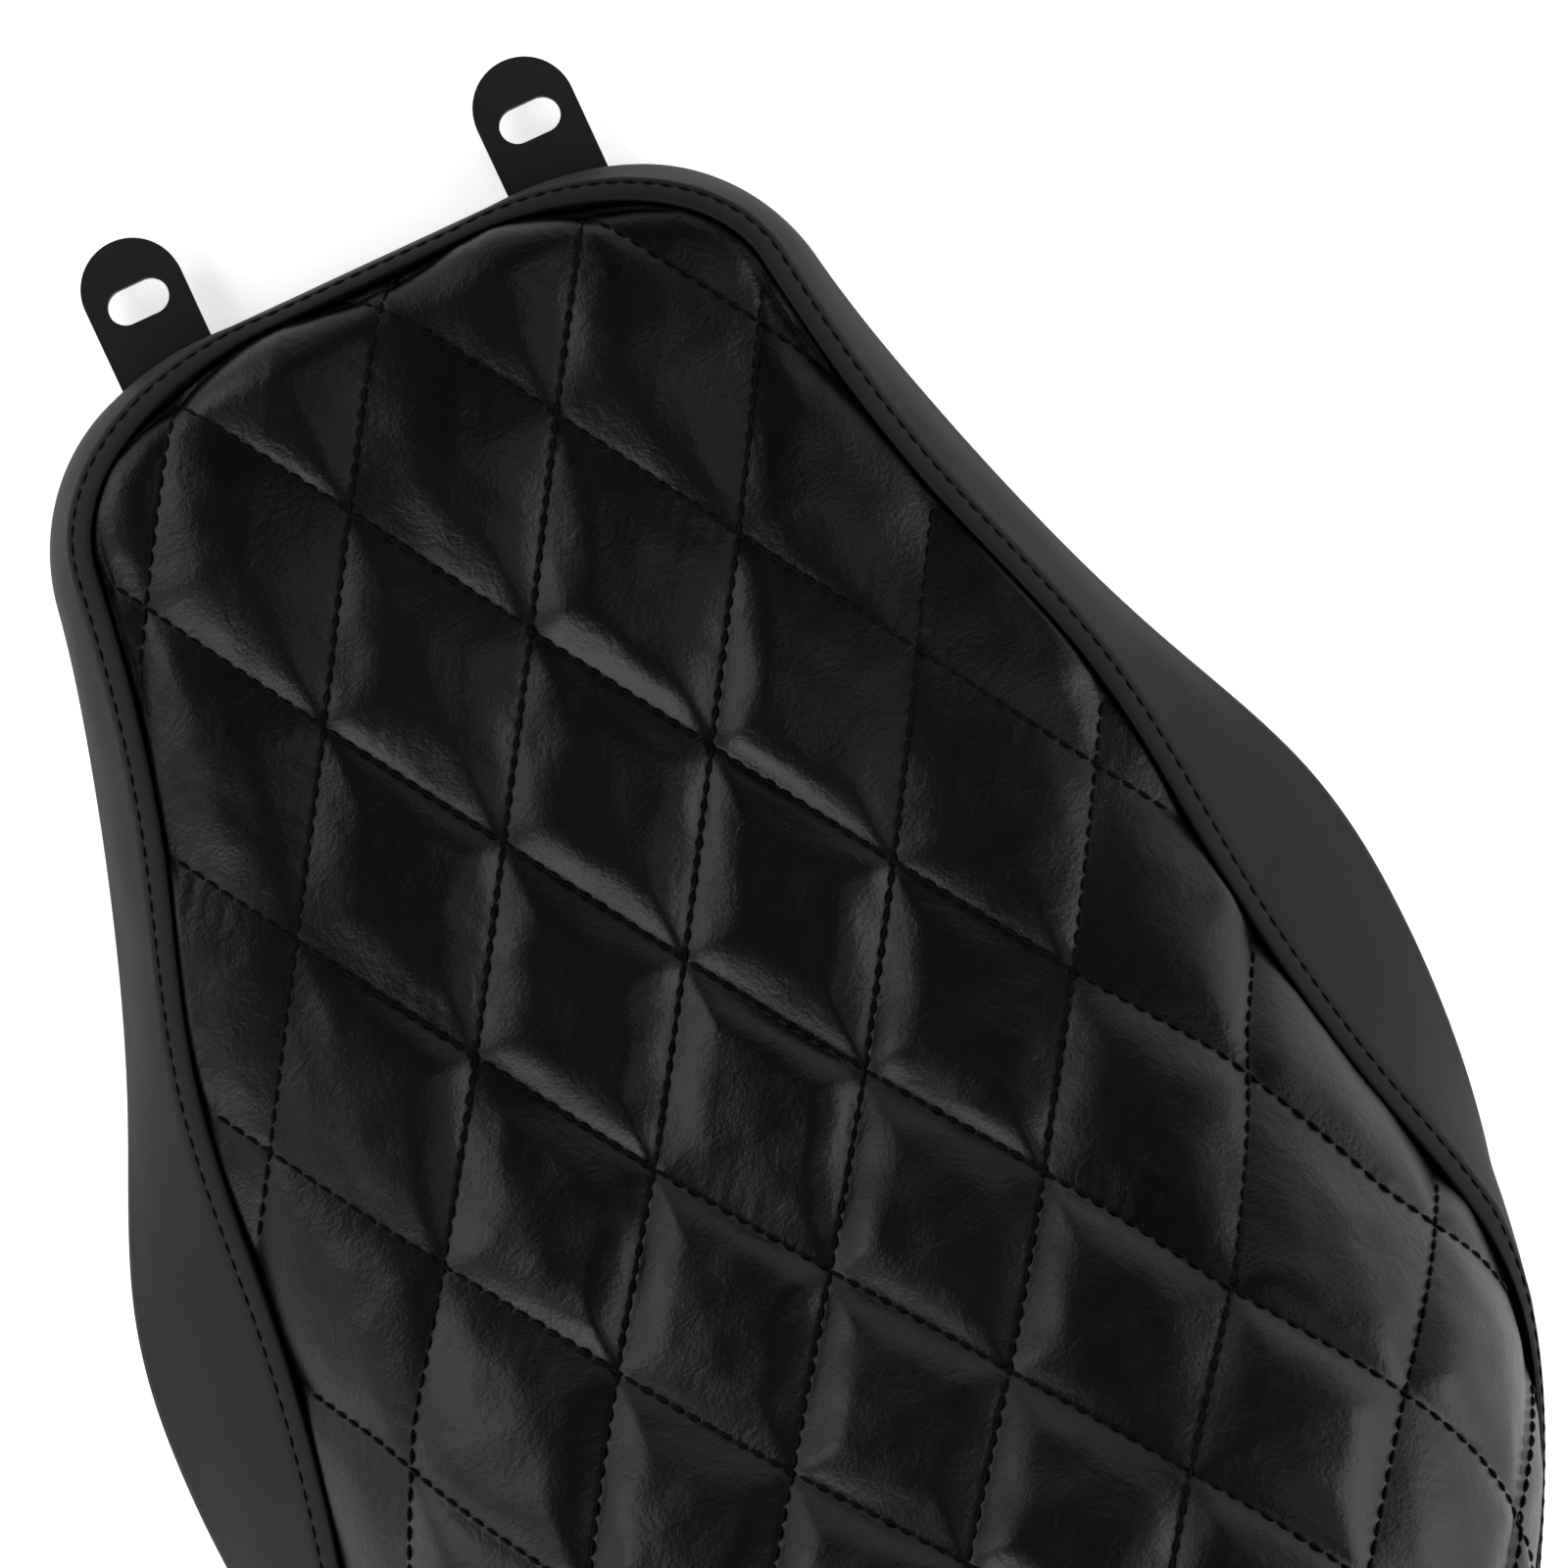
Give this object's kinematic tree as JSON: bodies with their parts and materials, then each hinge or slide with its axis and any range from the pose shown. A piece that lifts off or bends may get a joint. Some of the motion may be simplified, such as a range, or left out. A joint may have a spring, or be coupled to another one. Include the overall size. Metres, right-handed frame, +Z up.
{
  "type": "motorcycle seat",
  "caption": "Solo motorcycle seat with a diamond-quilted top cover, lapped side band, steel pan, slotted nose tabs and a drilled tail tab.",
  "frame": {"origin": "on the plane the bumpers stand on, under the middle of the whole part's box", "axes": "+Z up; -Y towards the nose and its slotted tabs, +Y towards the tail; +X towards the rider's left; symmetric about x = 0"},
  "size_m": [0.3236, 0.5415, 0.1504],
  "materials": {
    "cover_vinyl": "black grained vinyl with a soft sheen",
    "foam": "moulded polyurethane foam, matt cream",
    "quilt_foam": "grey sheet foam, matt",
    "liner_felt": "black needled felt",
    "pan_steel": "black powder coat",
    "tab_steel": "black powder coat, fine texture, matt",
    "zinc_steel": "zinc-plated steel",
    "screw_steel": "black oxide",
    "rivet_metal": "plain aluminium",
    "bumper_rubber": "moulded black rubber, matt"
  },
  "bodies": {
    "root": {"bumper_front_left": "bumper_rubber", "bumper_front_right": "bumper_rubber", "bumper_rear_left": "bumper_rubber", "bumper_rear_right": "bumper_rubber", "bumper_screws": "screw_steel", "front_backing_plate": "zinc_steel", "front_tab_left": "tab_steel", "front_tab_nuts": "zinc_steel", "front_tab_right": "tab_steel", "front_tab_screws": "screw_steel", "front_tab_washers": "zinc_steel", "hem_rivets": "rivet_metal", "main_foam": "foam", "quilt_foam": "quilt_foam", "rear_backing_plate": "zinc_steel", "rear_tab": "tab_steel", "rear_tab_nuts": "zinc_steel", "rear_tab_screws": "screw_steel", "rear_tab_washers": "zinc_steel", "seat_pan": "pan_steel", "side_band": "cover_vinyl", "top_cover": "cover_vinyl", "underside_liner": "liner_felt"}
  },
  "joints": []
}
